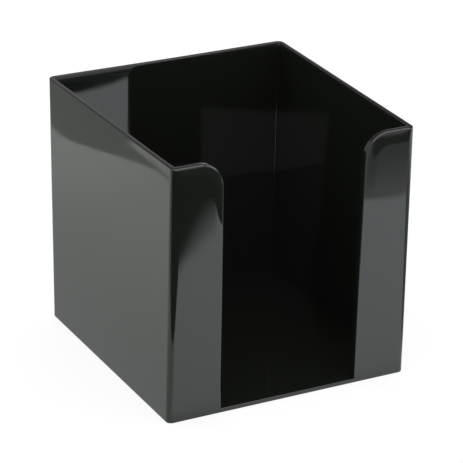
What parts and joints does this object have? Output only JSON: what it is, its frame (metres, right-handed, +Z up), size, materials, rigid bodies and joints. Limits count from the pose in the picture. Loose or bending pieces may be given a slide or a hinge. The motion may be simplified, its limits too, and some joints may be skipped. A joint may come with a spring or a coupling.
{
  "type": "note box",
  "caption": "Open-topped desk box for a block of loose note paper, moulded in one piece, with a wide opening cut down the middle of its front wall to the floor.",
  "frame": {"origin": "middle of the underside, where the box stands on the table", "axes": "+Z up through the open top, -Y out of the front, where the opening is, and +X to the right seen from the front"},
  "size_m": [0.1, 0.1034, 0.0985],
  "materials": {
    "gloss_black": "high gloss, straight from a polished mould"
  },
  "bodies": {
    "root": {"note_box": "gloss_black"}
  },
  "joints": []
}
